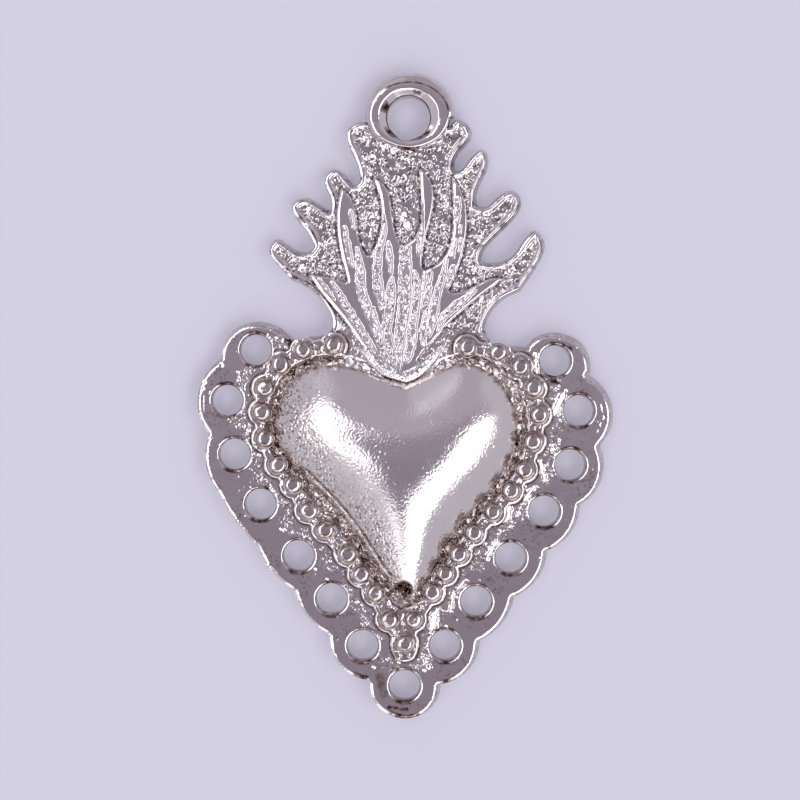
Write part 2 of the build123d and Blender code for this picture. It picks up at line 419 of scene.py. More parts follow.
def add_object(name, data):
    made = bpy.data.objects.new(name, data)
    scene.collection.objects.link(made)
    return made


def piece(name, vertices, faces, stain_and_shade, satin):
    """A mesh object, in metres, that keeps how dark each point is, from stains and painted shade, and how
    satin it is.
    """
    mesh = bpy.data.meshes.new(name)
    mesh.from_pydata((vertices * MM).tolist(), [], faces)
    for kind, values in (("stain_and_shade", stain_and_shade), ("satin", satin)):
        mesh.attributes.new(kind, "FLOAT", "POINT").data.foreach_set("value", values.astype(np.float32))
    mesh.shade_smooth()
    mesh.set_sharp_from_angle(angle=crease)
    return add_object(name, mesh)


def lathe(profile, sides):
    """The points and faces of a turned surface, from the radius and the height of each row."""
    angles = np.linspace(0, 2 * math.pi, sides, endpoint=False)
    around = np.stack([np.cos(angles), np.sin(angles)], 1)
    rows = [np.column_stack([radius * around, np.full(sides, height)]) for radius, height in profile]
    points = np.vstack(rows)
    faces = []
    for row in range(len(profile) - 1):
        for side in range(sides):
            after = (side + 1) % sides
            low, high = row * sides, (row + 1) * sides
            faces.append((low + side, low + after, high + after, high + side))
    return points, faces


# Materials

bright_tint = (0.80, 0.77, 0.785)
brown_stain = (0.28, 0.20, 0.17)
black_stain = (0.03, 0.025, 0.025)
grey_stain = (0.22, 0.19, 0.20)
# Where the darkening from stains and painted shade is brown or grey on its way to black
stain_share = 0.65
# Clouds of polish, stain and grain: their size and detail, and the levels they run between
polish_clouds = (1.4, 5)
polish_levels = (0.3, 0.7)
polish_shares = (0.6, 1.4)
stain_clouds = (0.5, 4)
stain_levels = (0.2, 0.6)
grain_detail = 3
satin_gain = 0.45


def set_inputs(node, values):
    for name, value in values.items():
        node.inputs[name].default_value = value


def map_range(nodes, low, high):
    """A node that runs from 0 to 1 while its value runs from low to high."""
    node = nodes.new("ShaderNodeMapRange")
    set_inputs(node, {"From Min": low, "From Max": high})
    return node


def nickel(name, roughness, grain_size, grain_bump, stain_and_shade):
    """Cast nickel: uneven polish, fine grain, and stains and painted shade that gather in the hollows."""
    material = bpy.data.materials.new(name)
    material.use_nodes = True
    nodes, links = material.node_tree.nodes, material.node_tree.links
    shader = nodes["Principled BSDF"]
    set_inputs(shader, {"Metallic": 1.0})
    place = nodes.new("ShaderNodeTexCoord").outputs["Object"]

    def clouds(size, detail):
        texture = nodes.new("ShaderNodeTexNoise")
        set_inputs(texture, {"Scale": 1 / (size * MM), "Detail": detail})
        links.new(place, texture.inputs["Vector"])
        return texture.outputs["Fac"]

    def attribute(kind):
        reader = nodes.new("ShaderNodeAttribute")
        reader.attribute_name = kind
        return reader.outputs["Fac"]

    polish = map_range(nodes, *polish_levels)
    set_inputs(polish, {"To Min": polish_shares[0] * roughness, "To Max": polish_shares[1] * roughness})
    links.new(clouds(*polish_clouds), polish.inputs["Value"])
    satin = nodes.new("ShaderNodeMath")
    satin.operation = "MULTIPLY_ADD"
    set_inputs(satin, {1: satin_gain})
    links.new(attribute("satin"), satin.inputs[0])
    links.new(polish.outputs["Result"], satin.inputs[2])
    links.new(satin.outputs["Value"], shader.inputs["Roughness"])

    patch = map_range(nodes, *stain_levels)
    links.new(clouds(*stain_clouds), patch.inputs["Value"])
    links.new(attribute("stain_and_shade"), patch.inputs["To Max"])
    colour = nodes.new("ShaderNodeValToRGB")
    stops = colour.color_ramp.elements
    stops[0].color = (*bright_tint, 1)
    stops[1].color = (*black_stain, 1)
    stops.new(stain_share).color = (*stain_and_shade, 1)
    links.new(patch.outputs["Result"], colour.inputs["Fac"])
    links.new(colour.outputs["Color"], shader.inputs["Base Color"])

    bump = nodes.new("ShaderNodeBump")
    set_inputs(bump, {"Strength": grain_bump, "Distance": grain_size * MM})
    links.new(clouds(grain_size, grain_detail), bump.inputs["Height"])
    links.new(bump.outputs["Normal"], shader.inputs["Normal"])
    return material


# Each metal's roughness, the size and the bump of its grain, and the colour of its stains and painted shade
plate_metal = nickel("plate_metal", 0.07, 0.25, 0.04, brown_stain)
grained_metal = nickel("grained_metal", 0.08, 0.15, 0.04, grey_stain)
tongue_metal = nickel("tongue_metal", 0.08, 0.15, 0.05, grey_stain)
ring_metal = nickel("ring_metal", 0.08, 0.3, 0.04, brown_stain)
bead_metal = nickel("bead_metal", 0.09, 0.2, 0.06, brown_stain)
dome_metal = nickel("dome_metal", 0.13, 0.1, 0.07, brown_stain)


def dress(made, node, material):
    """The piece takes a node's place and a material."""
    made.data.materials.append(material)
    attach(made, "root")
    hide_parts(node)


# Heights and outlines that several pieces share

plate_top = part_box("border_plate")[1].z / MM
joint_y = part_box("flame_plate")[0].y / MM
ring_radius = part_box("hanging_ring")[1].x / MM
tongue_names = [f"flame_tongue_{number}" for number in range(1, 7)]
tongue_loops = [underside(node)[0] for node in tongue_names]
collar_loop = underside("flame_collar")[0]
dome_loop = underside("heart_dome")[0]
ledge_loop = underside("bead_ledge")[0]
# The ledge's tip runs on from its last bead, whose middle is at this line in the photo
ledge_tip_line = 641
ledge_tip_run = 0.5
ledge_tip_blend = (0, 1.2)
below_tip = on_photo(0, ledge_tip_line, plate_top)[1] - ledge_loop[:, 1]
ledge_loop[:, 1] -= ledge_tip_run * grow(below_tip, *ledge_tip_blend)
tongue_edge = Edge(tongue_loops)
dome_edge = Edge([dome_loop])
ledge_edge = Edge([ledge_loop])
collar_edge = Edge([collar_loop])
joint_slack = 0.02


def off_joint(places):
    """Which places lie off the line where the two plates meet."""
    return np.abs(places[:, 1] - joint_y) > joint_slack


# Border plate

border_rim = Rim(chamfer=(0.26, 0.18), wall=(0.06, 0.5), depth=1.1)
hole_rim = Rim(chamfer=(0.16, 0.16), wall=(0.1, 0.1), depth=0.35)
# The side where the border's foot spreads, in degrees from the right, and how far
border_spread_turn = -20
border_spread = 0.42
border_swell = (3.2, 0.035, 1)
border_ripple = (1.1, 0.015, 2)
border_dips = (2.0, 0.16, -0.06, 12)
border_bumps = (1.3, 0.12, 0.04, 18)
moat_chips = (0.4, 0.4, 13)
# Sparkling chips
sparkle_chips = (0.12, 0.24, 11, 0.1)
sparkle_patches = (1.5, 3, -0.6, -0.1)
sparkle_by_ledge = (0.9, 2.1)
sparkle_by_dome = (1.9, 2.4)
neck_half = 6.2
neck_drop = 3.2
sparkle_off_rim = (0.4, 0.9)
sparkle_off_ledge = (0.1, 0.35)
sparkle_satin = 0.2
# Stains, and painted shade at the ledge's foot and on the holes' walls
bare_stain = 0.02
grime_stain = 0.5
grime_spots = (0.3, 0.12, 1, 20)
grime_patches = (2.5, 26, -0.1, 0.3)
chip_grime = (0.21, 0.1, 1, 27)
# Painted shade at the foot of the ledge
painted_ledge_foot_shade = 0.8
ledge_shade = (0.06, 0.2)
moat_stain = 0.42
collar_clear = (1.2, 2.4)
# Painted shade on the walls of the holes
painted_hole_wall_shade = 0.65
# Painted shade on edges that face down the picture, and on holes' lips that face up or down it: how straight
# they face, and the width of the painted shade
painted_edge_shade = 1.0
rim_facing = (0.84, 0.94)
rim_shade = (0.45, 0.6)
lip_facing = (0.72, 0.92)
lip_shade = (0.28, 0.38)
# How far the plate runs in under the dome, and how far out it is plain
dome_lap = 0.3
plain_off_ledge = 2.2
plain_off_dome = 2.5

# Marks of the casting: both ends and the width in the photo's pixels, the slope down to the right and to the
# top, and how brown it is. Their ragged edges end over two shares of half the width
mark_waves = (0.4, 0.15, 19)
mark_edge = (0.5, 1.3)
border_marks = [
    (601, 404, 604, 418, 4, 0.34, -0.1, 0), (604, 418, 597, 432, 4, 0.34, -0.1, 0),
    (555, 412, 563, 396, 8, 0.3, -0.1, 0), (553, 446, 557, 462, 5, 0.3, -0.1, 0),
    (536, 354, 537, 377, 4, -0.3, 0, 0), (204, 394, 204, 411, 3, -0.28, 0, 0),
    (434, 615, 433, 627, 9, 0.32, -0.1, 0), (424, 657, 430, 667, 5, 0.3, 0, 0),
    (541, 462, 545, 480, 6, 0.3, -0.1, 0), (533, 488, 525, 499, 5, 0.3, -0.1, 0),
    (522, 505, 516, 517, 3, 0.3, -0.1, 0), (509, 508, 506, 520, 7, 0.3, -0.1, 0),
    (497, 540, 487, 558, 5, 0.3, -0.1, 0), (464, 581, 458, 588, 4, 0.3, -0.1, 0),
    (452, 594, 451, 611, 4, 0.3, -0.1, 0), (593, 466, 592, 478, 3, 0.34, -0.1, 0),
    (557, 344, 571, 348, 3, 0, 0.1, 1.0), (545, 379, 558, 383, 4, 0, 0.1, 1.0),
    (389, 707, 407, 710, 3, 0, 0.1, 1.0), (380, 676, 384, 694, 9, 0, 0.1, 0.5),
]


def cast_marks(points):
    """How the border's marks raise each point, and how brown they are."""
    rise, stain_and_shade = np.zeros(len(points)), np.zeros(len(points))
    ragged = waves(points, *mark_waves)
    for u0, v0, u1, v1, width, right, up, darkness in border_marks:
        start, end = on_photo(u0, v0, plate_top), on_photo(u1, v1, plate_top)
        _, aside = beside(points, start, end)
        ends = [part * width * pixel / 2 for part in mark_edge]
        share = fade(length(aside) + ragged, *ends)
        rise -= share * (aside @ (right, up))
        stain_and_shade = np.maximum(stain_and_shade, darkness * share)
    return rise, stain_and_shade


def build_border():
    loops = [resample(loop, border_step) for loop in underside("border_plate")]
    loops[0] = spread(loops[0], off_joint, border_spread_turn, border_spread)
    outer_edge = Edge(loops[:1], off_joint)
    hole_edge = Edge(loops[1:])

    def sparkling(points, distance, by_ledge, by_dome):
        """Where the chips are."""
        patch = patches(points, *sparkle_patches)
        patch *= fade(by_ledge, *sparkle_by_ledge)
        neck = (joint_y - points[:, 1] < neck_drop) & (np.abs(points[:, 0] - camera_at[0]) < neck_half)
        share = np.maximum.reduce([patch, fade(by_dome, *sparkle_by_dome), neck])
        return share * grow(distance, *sparkle_off_rim) * grow(by_ledge, *sparkle_off_ledge)

    def shape(points):
        distance, outward = outer_edge.measure(points)
        by_hole, hole_outward = hole_edge.measure(points)
        by_ledge = ledge_edge.distance(points)
        by_dome = dome_edge.distance(points)
        by_collar = collar_edge.distance(points)
        sparkle = sparkling(points, distance, by_ledge, by_dome)
        moat = fade(by_dome, *moat_fade)
        rise, darkness = cast_marks(points)
        top = plate_top + waves(points, *border_swell) + waves(points, *border_ripple) + rise
        top += np.clip(sparkle - moat, 0, 1) * chips(points, *sparkle_chips)
        top += moat * (chips(points, *moat_chips) - moat_depth)
        top += spots(points, *border_dips) + spots(points, *border_bumps)
        top += border_rim.fall(distance, outward)
        top += hole_rim.fall(by_hole, hole_outward)
        grime = spots(points, *grime_spots) * patches(points, *grime_patches)
        grime = np.maximum(grime, sparkle * spots(points, *chip_grime))
        # Painted shade on edges that face down the picture, and on holes' lips that face up or down it
        rim = grow(-outward[:, 1], *rim_facing) * fade(distance, *rim_shade)
        lip = grow(np.abs(hole_outward[:, 1]), *lip_facing) * fade(by_hole, *lip_shade)
        # Stains, and painted shade at the ledge's foot, on the walls and on the holes' walls
        stains_and_shade = [
            darkness,
            bare_stain + grime_stain * grime,
            painted_ledge_foot_shade * fade(by_ledge, *ledge_shade),
            moat_stain * moat * grow(by_collar, *collar_clear),
            painted_edge_shade * np.maximum(rim, lip),
            painted_wall_shade * border_rim.on_wall(distance, outward),
            painted_hole_wall_shade * hole_rim.on_wall(by_hole, hole_outward),
        ]
        return top, np.maximum.reduce(stains_and_shade), sparkle_satin * sparkle

    def hidden(points):
        return inside(points, [dome_loop]) & (dome_edge.distance(points) > dome_lap)

    def plain(points):
        off_ledge = ledge_edge.distance(points) > plain_off_ledge
        return off_ledge & (dome_edge.distance(points) > plain_off_dome)

    rims = [border_rim] + [hole_rim] * len(loops[1:])
    made = relief("border_plate_cast", loops, rims, border_step, shape, 0.0, hidden, plain)
    dress(made, "border_plate", plate_metal)


# Flame plate

flame_rim = Rim(chamfer=(0.17, 0.12), wall=(0.1, 0.42), depth=1.1)
flame_spread = 0.28
ring_slack = 0.03
# How the grain laps over the foot of the ring
ring_lap = 0.6
lap_height = 0.12
lap_run = 0.7
field_fade = (0.45, 0.85)
field_depth = 0.2
flame_swell = (1.5, 0.05, 5)
flame_dips = (1.3, 0.14, -0.12, 22)
large_grains = (0.86, 0.48, 0.27, 31)
low_share = 0.4
low_patches = (1.3, 78, -0.5, 0.1)
small_grains = (0.5, 0.34, 0.28, 34)
small_waves = (1.2, 0.7, 7)
small_fade = (0.5, 1.1)
small_satin = 0.2
pit_spots = (0.5, 0.16, 1, 25)
pit_depth = 0.1
pit_stain = 0.76
# Painted shade along the feet of the tongues, then stains
painted_tongue_foot_shade = 0.9
tongue_shade = (0.08, 0.32)
field_stain = 0.24
small_cleaner = 0.12
grain_stain = 0.9
worn_stain = 0.75
worn_patches = (0.7, 79, 0.0, 0.4)
worn_fade = (0.4, 0.6)
tongue_lap = 0.2


def build_flame():
    loops = [resample(loop, flame_step) for loop in underside("flame_plate")]

    def free(places):
        return off_joint(places) & (length(places) > ring_radius + ring_slack)

    loops[0] = spread(loops[0], free, lean_turn, flame_spread)
    reach = length(loops[0])
    by_ring = reach < ring_radius + ring_slack
    loops[0][by_ring] *= ((ring_radius - ring_lap) / reach[by_ring])[:, None]
    loops[0] = untangled(loops[0])
    free_edge = Edge(loops, free)

    def shape(points):
        distance, outward = free_edge.measure(points)
        by_tongue = tongue_edge.distance(points)
        field = grow(distance, *field_fade)
        fine = fade(by_tongue + waves(points, *small_waves), *small_fade) * field
        coarse = field - fine
        lap = fade(length(points) - ring_radius, -ring_lap, lap_run)
        pits = spots(points, *pit_spots)
        large, large_edges = grains(points, *large_grains)
        small, small_edges = grains(points, *small_grains)
        thick = low_share + (1 - low_share) * patches(points, *low_patches)
        top = plate_top + waves(points, *flame_swell) + lap_height * lap - field_depth * field
        top += coarse * thick * large + fine * small - pit_depth * field * pits
        top += spots(points, *flame_dips)
        top += flame_rim.fall(distance, outward)
        worn = patches(points, *worn_patches) * fade(distance, *worn_fade)
        # Painted shade along the tongues' feet and on the walls, with stains
        stains_and_shade = [
            painted_tongue_foot_shade * fade(by_tongue, *tongue_shade),
            field_stain * field - small_cleaner * fine + pit_stain * field * pits,
            grain_stain * (coarse * large_edges + fine * small_edges),
            painted_wall_shade * flame_rim.on_wall(distance, outward),
            worn_stain * worn,
        ]
        return top, np.maximum.reduce(stains_and_shade), small_satin * fine

    def hidden(points):
        under = nowhere(points)
        for loop in tongue_loops:
            under |= inside(points, [loop])
        return under & (tongue_edge.distance(points) > tongue_lap)

    made = relief("flame_plate_cast", loops, [flame_rim], flame_step, shape, 0.0, hidden)
    dress(made, "flame_plate", grained_metal)


# Flame tongues and their collar

tongue_rim = Rim(chamfer=(0.24, 0.05), wall=(0.1, 0.16), depth=0.6)
tongue_swell = (1.6, 0.03, 8)
tongue_ripple = (0.5, 0.006, 16)
collar_rim = Rim(chamfer=(0.5, 0.5), wall=(0.15, 0.2), depth=0.6)
collar_waves = (0.9, 0.06, 10)
collar_chips = (0.16, 0.2, 71)
collar_spots = (0.45, 0.12, 1, 72)
collar_stain = 0.6
collar_satin = 0.3
# Pieces this near have a closed seam: each is drawn out by a share of the gap
seam_width = 0.2
seam_share = 0.47

# Channels with a grained floor along the flame tongues: places and widths, in the photo's pixels
channels = [
    [(350.5, 210, 2), (352, 219, 4), (353.5, 228, 2)],
    [(345, 227, 2), (347.5, 245, 5), (352, 265, 4)],
    [(357, 248, 2), (360, 268, 8), (361, 288, 9), (368, 310, 8), (376, 335, 5), (387, 362, 3)],
    [(383, 216, 3), (383.5, 230, 6), (379, 250, 7), (377, 270, 8), (378.5, 290, 9), (383, 310, 5)],
    [(388.5, 242, 2), (390, 258, 6), (391.3, 274, 2)],
    [(392, 277, 2), (391, 288, 8), (390, 303, 9), (388, 317, 9), (387, 334, 8), (392, 352, 8),
     (397, 366, 5)],
    [(373, 308, 2), (377, 326, 5), (382, 345, 5), (390, 366, 3)],
    [(405.5, 249, 10), (405, 275, 12), (404.5, 300, 12), (402, 320, 11), (399.5, 340, 9), (399, 371, 4)],
    [(421.6, 204, 2), (420.7, 225, 6), (419.5, 240, 6), (418.5, 255, 2)],
    [(414.5, 271, 2), (417, 283, 6), (416, 302, 8), (413.5, 320, 8), (412, 334, 9), (410, 348, 9),
     (406, 361, 5)],
    [(424.5, 274, 3), (423, 294, 2)],
    [(429.6, 273, 5), (429.6, 284, 3)],
    [(429.6, 287, 3), (426, 300, 8), (422.5, 311, 3)],
    [(446.6, 260, 2), (442, 279, 6), (437, 295, 7), (434, 310, 9), (431, 325, 8), (428, 335, 4)],
    [(426, 313, 3), (424.3, 325, 6), (423.4, 336, 6), (424, 346, 3)],
    [(453, 267, 4), (450.5, 277, 7), (448, 287, 3)],
    [(457.8, 199, 5), (457.8, 212, 5), (457, 222, 3)],
    [(460.5, 226, 2), (460, 233, 2)],
    [(455.5, 239, 3), (452.4, 256, 4)],
    [(461, 239, 2), (459.5, 251, 2)],
    [(475, 290.5, 2), (460, 302.5, 7), (446, 314, 6), (442, 320, 5), (438.5, 331, 2)],
    [(438, 339, 2), (428, 350, 7), (419, 360, 4)],
    [(319, 279, 2), (326, 288, 4), (334, 299, 2)],
    [(332, 283, 3), (340, 296, 6), (352, 316, 7), (371, 347, 6), (386, 370, 3)],
]
channel_depth = 0.12
channel_edge = (-0.12, 0.08)
channel_waves = (0.45, 0.1, 15)
channel_satin = 0.35
# Chips on a channel's floor run along the flame. Each tongue has its own seeds
channel_stretch = (1, 0.45)
channel_chips = (0.18, 0.28)
channel_chip_seed = 31
channel_level_share = 0.6
channel_spots = (0.42, 0.13, 1)
channel_spot_seed = 61
channel_spot_depth = 0.08
channel_spot_stain = 0.8


def flowing(rows, parts=5):
    """Rows of numbers along a smooth line through the given rows."""
    rows = np.array(rows, float)
    padded = np.vstack([2 * rows[0] - rows[1], rows, 2 * rows[-1] - rows[-2]])
    line = []
    for before, start, end, after in zip(padded, padded[1:], padded[2:], padded[3:]):
        for t in np.linspace(0, 1, parts, endpoint=False):
            square = (2 * before - 5 * start + 4 * end - after) * t ** 2
            cube = (3 * start - before - 3 * end + after) * t ** 3
            line.append(start + (end - before) * t / 2 + (square + cube) / 2)
    return np.vstack([line, rows[-1:]])


def channel_share(points, height):
    """How deep in a channel each point lies: 0 on the flat, 1 on a channel's floor."""
    share = np.zeros(len(points))
    ragged = waves(points, *channel_waves)
    for channel in channels:
        line = flowing(channel)
        places = on_photo(line[:, 0], line[:, 1], height).T
        halves = line[:, 2] * pixel / 2
        for start, end, half, next_half in zip(places, places[1:], halves, halves[1:]):
            along, aside = beside(points, start, end)
            edge = half + (next_half - half) * along + ragged
            share = np.maximum(share, fade(length(aside) - edge, *channel_edge))
    return share


def close_seam(outline, other_edge):
    """An outline drawn out to the pieces that it meets, and its edge apart from those seams."""
    gap, across = other_edge.find(outline)
    seam = gap < seam_width
    closed = outline.copy()
    closed[seam] += seam_share * (other_edge.places[across] - outline)[seam]
    return closed, Edge([outline], lambda places: other_edge.distance(places) > seam_width)


def build_tongue(number):
    node = tongue_names[number]
    low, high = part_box(node)
    top_height = high.z / MM
    outline = resample(tongue_loops[number], tongue_step)
    other_edge = Edge([collar_loop] + [loop for i, loop in enumerate(tongue_loops) if i != number])
    outline, free_edge = close_seam(outline, other_edge)

    def shape(points):
        floor = channel_share(points, top_height)
        dark = floor * spots(points, *channel_spots, channel_spot_seed + number)
        chip_seed = channel_chip_seed + number
        grain = chips(points * channel_stretch, *channel_chips, chip_seed, channel_level_share)
        top = top_height + waves(points, *tongue_swell) + waves(points, *tongue_ripple)
        top -= channel_depth * floor
        top += floor * grain - channel_spot_depth * dark
        top += tongue_rim.fall(*free_edge.measure(points))
        return top, channel_spot_stain * dark, channel_satin * floor

    made = relief(f"{node}_cast", [outline], [tongue_rim], tongue_step, shape, low.z / MM - sunk)
    dress(made, node, tongue_metal)


def build_collar():
    low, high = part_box("flame_collar")
    outline, free_edge = close_seam(resample(collar_loop, collar_step), tongue_edge)

    def shape(points):
        top = high.z / MM + waves(points, *collar_waves) + chips(points, *collar_chips)
        top += collar_rim.fall(*free_edge.measure(points))
        return top, collar_stain * spots(points, *collar_spots), np.full(len(points), collar_satin)

    made = relief("flame_collar_cast", [outline], [collar_rim], collar_step, shape, low.z / MM - sunk)
    dress(made, "flame_collar", tongue_metal)


# Heart dome

dome_rim = Rim(chamfer=(0.06, 0.06), wall=(0.06, 0.06), depth=0.0)
dome_skirt = 0.3
dome_fullness = 2.3
# The puffed form: how many lots it is worked out in, and what keeps it off zero
puff_lots = 100
puff_least = 1e-8
# The line in the photo, from its top to its foot, between the dome's grained left and smooth right
grain_line = [(332, 380), (402, 560)]
line_waves = (1.2, 0.5, 17)
line_fade = (-0.3, 0.9)
# The grain also follows the edge, and it is full only on the flank
edge_grain = 0.7
edge_fade = (0.4, 1.5)
flank_least = 0.25
flank_fade = (2.4, 3.8)
flank_drop = (9, 13)
dome_grit = (0.2, 0.008, 12)
dome_chips = (0.15, 0.17, 51)
dome_spots = (0.24, 0.11, 1, 53)
dome_spot_depth = 0.04
dome_ripple = (0.2, 0.003, 13)
polish_chips = (0.15, 0.05, 54)
# The rough pit at the dome's tip, placed in the photo
tip_pit = (403, 590)
tip_pit_edge = (0.525, 1.05)
tip_pit_depth = 0.5
tip_pit_chips = (0.25, 1.0, 52)
# The groove by the lower left edge, with its ends down the photo
groove_inset = 0.65
groove_edge = (0.06, 0.2)
groove_depth = 0.08
groove_ends = (470, 575)
# Stains, painted shade in the dark pits and along the foot, and satin
dome_pit_shade = 0.9
groove_stain = 0.6
painted_dome_foot_shade = 0.55
foot_shade = (0.05, 0.4)
dome_satin = 0.15


def puff(points, loop):
    """How deep inside an outline each point lies, from 0 to 1: a parabola across a disc or a strip."""
    rim = resample(loop, edge_spacing)
    span = length(np.roll(rim, -1, 0) - rim)
    depth = []
    for some in np.array_split(points, puff_lots):
        square = ((some[:, None] - rim) ** 2).sum(2) + puff_least
        depth.append(1 / (span / square).sum(1))
    depth = np.concatenate(depth)
    return depth / depth.max()


def build_dome():
    low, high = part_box("heart_dome")
    foot = low.z / MM
    outline = resample(dome_loop, dome_step)
    line_top, line_foot = [on_photo(*place, high.z / MM) for place in grain_line]
    across = np.array((line_foot - line_top)[::-1] * (1, -1)) / np.linalg.norm(line_foot - line_top)
    pit_place = on_photo(*tip_pit, foot)
    groove_top, groove_foot = [on_photo(0, line, foot)[1] for line in groove_ends]

    def shape(points):
        edge = dome_edge.distance(points)
        swell = 1 - (1 - puff(points, dome_loop)) ** (dome_fullness / 2)
        top = foot + dome_skirt + (high.z / MM - foot - dome_skirt) * swell
        beyond = (points - line_top) @ across
        left = grow(beyond + waves(points, *line_waves), *line_fade)
        grain = np.maximum(left, edge_grain * fade(edge, *edge_fade))
        low_down = grow(line_top[1] - points[:, 1], *flank_drop)
        flank = flank_least + (1 - flank_least) * np.maximum(grow(beyond, *flank_fade), low_down)
        # Pits on the grained flank, their darkness painted shade
        dark = left * flank * spots(points, *dome_spots)
        grit = waves(points, *dome_grit) + chips(points, *dome_chips)
        top += grain * flank * grit - dome_spot_depth * dark
        top += waves(points, *dome_ripple) + chips(points, *polish_chips)
        by_pit = length(points - pit_place)
        pit = fade(by_pit, *tip_pit_edge)
        top += pit * (chips(points, *tip_pit_chips) - tip_pit_depth)
        groove = fade(np.abs(edge - groove_inset), *groove_edge)
        groove *= (points[:, 0] < pit_place[0]) & (points[:, 1] < groove_top) & (points[:, 1] > groove_foot)
        top -= groove_depth * groove
        # The tip pit, painted shade in the dark pits, the groove, and painted shade along the foot
        stains_and_shade = [pit, dome_pit_shade * dark, groove_stain * groove, painted_dome_foot_shade * fade(edge, *foot_shade)]
        return top, np.maximum.reduce(stains_and_shade), dome_satin * left

    made = relief("heart_dome_puffed", [outline], [dome_rim], dome_step, shape, foot - sunk)
    dress(made, "heart_dome", dome_metal)


# Bead row

ledge_rim = Rim(chamfer=(0.1, 0.1), wall=(0.1, 0.14), depth=0.4)
# The ledge has a rim where it is farther than this from the dome
ledge_inside = 1.3
ledge_waves = (0.8, 0.06, 14)
ledge_moat_depth = 2 * moat_depth
ledge_moat_chips = (0.4, 0.4, 41)
ledge_moat_stain = 0.2
ledge_chips = (0.3, 0.12, 42)
ledge_chip_fade = (0.25, 0.5)
ledge_top_stain = 0.3
ledge_top_fade = (0.2, 0.4)

bead_sides = 40
# The bead: its step as a share of its height, its collar's rows as shares of radius and step, its crown's
# fall as a share of the radius, the powers of crown and shoulder, and the ball's rows
bead_step = 0.3
bead_collar = [(1.1, 0.5), (1.05, 0.85), (1, 0.9)]
crown_fall = 0.3
crown_power = 4
shoulder_power = 12
ball_rows = [0.995, 0.98, 0.96, 0.93, 0.9, 0.86, 0.82, 0.77, 0.7, 0.62, 0.54, 0.46, 0.38, 0.3, 0.2, 0.1]
# How uneven beads are as cast
bead_seed = 100
bead_stretch = 0.03
bead_shift = 0.03
bead_tilt = 0.04
bead_bump_pitch = 2.2
bead_bump_apart = 7.3
bead_bump_width = 0.05
bead_bump_height = 0.02
# A stain over each bead, and painted shade at a bead's foot and towards the top and bottom of the picture
bead_stain = 0.15
painted_bead_shade = 0.45
bead_foot_fade = (0.7, 0.85)
bead_end_fade = (0.25, 0.55)


def build_ledge():
    low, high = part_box("bead_ledge")
    outline = resample(ledge_loop, ledge_step)
    far_edge = Edge([ledge_loop], lambda places: dome_edge.distance(places) > ledge_inside)

    def shape(points):
        moat = fade(dome_edge.distance(points), *moat_fade)
        top = high.z / MM + waves(points, *ledge_waves) - ledge_moat_depth * moat
        distance, outward = far_edge.measure(points)
        inner = (1 - moat) * grow(distance, *ledge_chip_fade)
        top += moat * chips(points, *ledge_moat_chips) + inner * chips(points, *ledge_chips)
        top += ledge_rim.fall(distance, outward)
        stain_and_shade = ledge_top_stain * grow(distance, *ledge_top_fade) + ledge_moat_stain * moat
        return top, stain_and_shade, np.zeros(len(points))

    made = relief("bead_ledge_cast", [outline], [ledge_rim], ledge_step, shape, low.z / MM - sunk)
    dress(made, "bead_ledge", bead_metal)


def build_bead(node, number):
    """A ball with a flattened crown on a stepped collar, a little uneven as cast."""
    low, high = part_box(node)
    centre = (low + high) / 2 / MM
    radius = (high.x - low.x) / 2 / MM
    tall = (high.z - low.z) / MM
    step = bead_step * tall
    crown = crown_fall * radius
    profile = [(bead_collar[0][0] * radius, -sunk)]
    profile += [(share * radius, rise * step) for share, rise in bead_collar]
    for share in ball_rows:
        fall = crown * share ** crown_power + (tall - step - crown) * share ** shoulder_power
        profile.append((radius * share, tall - fall))
    points, faces = lathe(profile, bead_sides)
    faces.append(tuple(range(len(points) - bead_sides, len(points))))
    faces.append(tuple(reversed(range(bead_sides))))
    draw = np.random.default_rng(bead_seed + number)
    share = np.clip(points[:, 2:] / tall, 0, 1)
    start = Vector((number * bead_bump_apart, 0, 0))
    bumps = np.array([noise.noise(Vector(p) * bead_bump_pitch + start) for p in points])
    places = points.copy()
    places[:, :2] *= draw.normal(1, bead_stretch, 2)
    places[:, :2] *= 1 + bead_bump_width * bumps[:, None] * share
    places[:, :2] += share * draw.normal(0, bead_shift, 2)
    places[:, 2] += share[:, 0] * (bead_bump_height * bumps + points[:, :2] @ draw.normal(0, bead_tilt, 2))
    # Painted shade at the bead's foot and towards the top and bottom of the picture
    aside = length(points[:, :2]) / radius
    ends = np.abs(points[:, 1]) / radius
    dark = np.maximum(grow(aside, *bead_foot_fade), grow(ends, *bead_end_fade))
    stain_and_shade = bead_stain + painted_bead_shade * dark
    spot = np.array([centre.x, centre.y, low.z / MM])
    made = piece(f"{node}_cast", places + spot, faces, stain_and_shade, np.zeros(len(points)))
    dress(made, node, bead_metal)


# Hanging ring

ring_sides = 240
# Each row of the ring, from the bore outwards: half its width and its height, its middle, and its level
ring_rows = [
    (2.0, 2.0, 0.0, -0.1, 0.0), (2.0, 2.0, -0.02, -0.15, 1.2), (2.0, 2.0, -0.04, -0.2, 1.7),
    (2.03, 2.02, -0.04, -0.22, 1.86), (2.14, 2.1, -0.04, -0.2, 1.95), (2.58, 2.38, -0.05, -0.13, 2.25),
    (2.68, 2.45, -0.05, -0.11, 2.34), (2.78, 2.53, -0.05, -0.1, 2.385), (2.84, 2.57, -0.04, -0.1, 2.4),
    (3.5, 2.89, 0.04, -0.03, 2.4), (3.6, 2.96, 0.04, -0.02, 2.385), (3.76, 3.12, 0.05, 0.0, 2.34),
    (3.88, 3.36, 0.06, 0.02, 2.26), (4.0, 3.64, 0.07, 0.06, 2.08), (4.14, 3.86, 0.09, 0.1, 1.75),
    (4.19, 3.95, 0.1, 0.16, 0.9), (4.19, 3.95, 0.1, 0.16, 0.0),
]
ring_edge_row = 10
